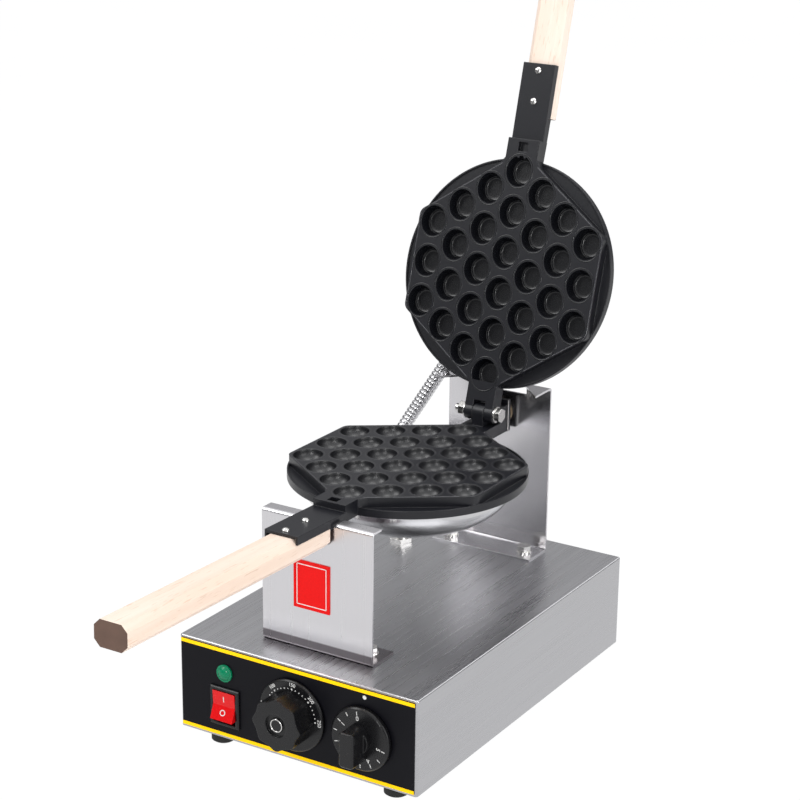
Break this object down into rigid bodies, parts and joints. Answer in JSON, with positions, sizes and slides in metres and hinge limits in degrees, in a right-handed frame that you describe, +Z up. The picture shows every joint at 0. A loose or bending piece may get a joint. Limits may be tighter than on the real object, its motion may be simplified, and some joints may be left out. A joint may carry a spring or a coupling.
{
  "type": "bubble waffle maker",
  "caption": "Electric bubble waffle maker: steel base with knobs, two brackets, and a hinged pair of black cast cavity moulds with wooden handles that turns over.",
  "frame": {"origin": "centre of the whole object's bounding box in plan, on the floor under the feet", "axes": "+X to the right seen from the control panel, +Y towards the back, +Z up"},
  "size_m": [0.2, 0.594, 0.6283],
  "materials": {
    "steel_sheet": "brushed",
    "steel_polished": "polished",
    "fastener_steel": "satin",
    "mould_black": "non-stick black",
    "beech": "bare",
    "panel_black": "satin",
    "stripe_yellow": "gloss",
    "plate_red": "gloss",
    "black_plastic": "satin",
    "red_plastic": "gloss",
    "green_lens": "gloss",
    "white_plastic": "satin",
    "rubber_black": "matte",
    "bronze": "satin"
  },
  "bodies": {
    "base": {"base_housing": "steel_sheet", "bottom_plate": "steel_sheet", "rubber_feet": "rubber_black", "foot_screws": "fastener_steel", "control_panel": "panel_black", "panel_stripes": "stripe_yellow", "lamp_lens": "green_lens", "lamp_body": "black_plastic", "switch_body": "black_plastic", "heat_body": "white_plastic", "timer_body": "fastener_steel", "terminal_block": "white_plastic", "mains_gland": "black_plastic", "conduit_gland": "fastener_steel", "front_bracket": "steel_sheet", "rear_bracket": "steel_sheet", "bracket_bolts": "fastener_steel", "front_plate": "plate_red", "pivot_bush": "bronze", "feed_conduit": "steel_polished"},
    "lower_half": {"lower_mould": "mould_black", "lower_handle": "beech", "lower_handle_screws": "fastener_steel", "lower_shell": "steel_polished", "lower_element": "fastener_steel", "lower_clamp": "steel_sheet", "lower_shell_bolt": "fastener_steel", "lower_ferrules": "fastener_steel", "hinge_bolt": "fastener_steel", "hinge_nut": "fastener_steel", "pivot_shaft": "fastener_steel", "pivot_washer": "fastener_steel", "pivot_nut": "fastener_steel", "link_conduit": "steel_polished"},
    "upper_half": {"upper_mould": "mould_black", "upper_handle": "beech", "upper_handle_screws": "fastener_steel", "upper_shell": "steel_polished", "upper_element": "fastener_steel", "upper_clamp": "steel_sheet", "upper_shell_bolt": "fastener_steel", "upper_ferrule": "fastener_steel"},
    "rocker": {"switch_rocker": "red_plastic"},
    "heat_setting": {"heat_knob": "black_plastic", "heat_dial": "black_plastic", "heat_shaft": "fastener_steel"},
    "timer_setting": {"timer_grip": "black_plastic", "timer_dial": "black_plastic", "timer_shaft": "fastener_steel"}
  },
  "joints": [
    {"name": "mould_open", "type": "hinge", "parent": "lower_half", "child": "upper_half", "pos_m": [0, 0.15232, 0.1977], "axis": [1, 0, 0], "range_deg": [0, 107.05], "deforming": ["link_conduit"]},
    {"name": "mould_flip", "type": "hinge", "parent": "base", "child": "lower_half", "pos_m": [0, 0.17942, 0.1914], "axis": [0, 1, 0], "range_deg": [-2.5, 2.5], "deforming": ["feed_conduit"]},
    {"name": "power_switch", "type": "hinge", "parent": "base", "child": "rocker", "pos_m": [-0.0595, -0.09648, 0.0364], "axis": [1, 0, 0], "range_deg": [0, 18]},
    {"name": "heat_knob_turn", "type": "hinge", "parent": "base", "child": "heat_setting", "pos_m": [-0.0012, -0.11148, 0.0464], "axis": [0, -1, 0], "range_deg": [-270, 0]},
    {"name": "timer_knob_turn", "type": "hinge", "parent": "base", "child": "timer_setting", "pos_m": [0.0569, -0.11148, 0.045], "axis": [0, -1, 0], "range_deg": [-300, 0]}
  ]
}
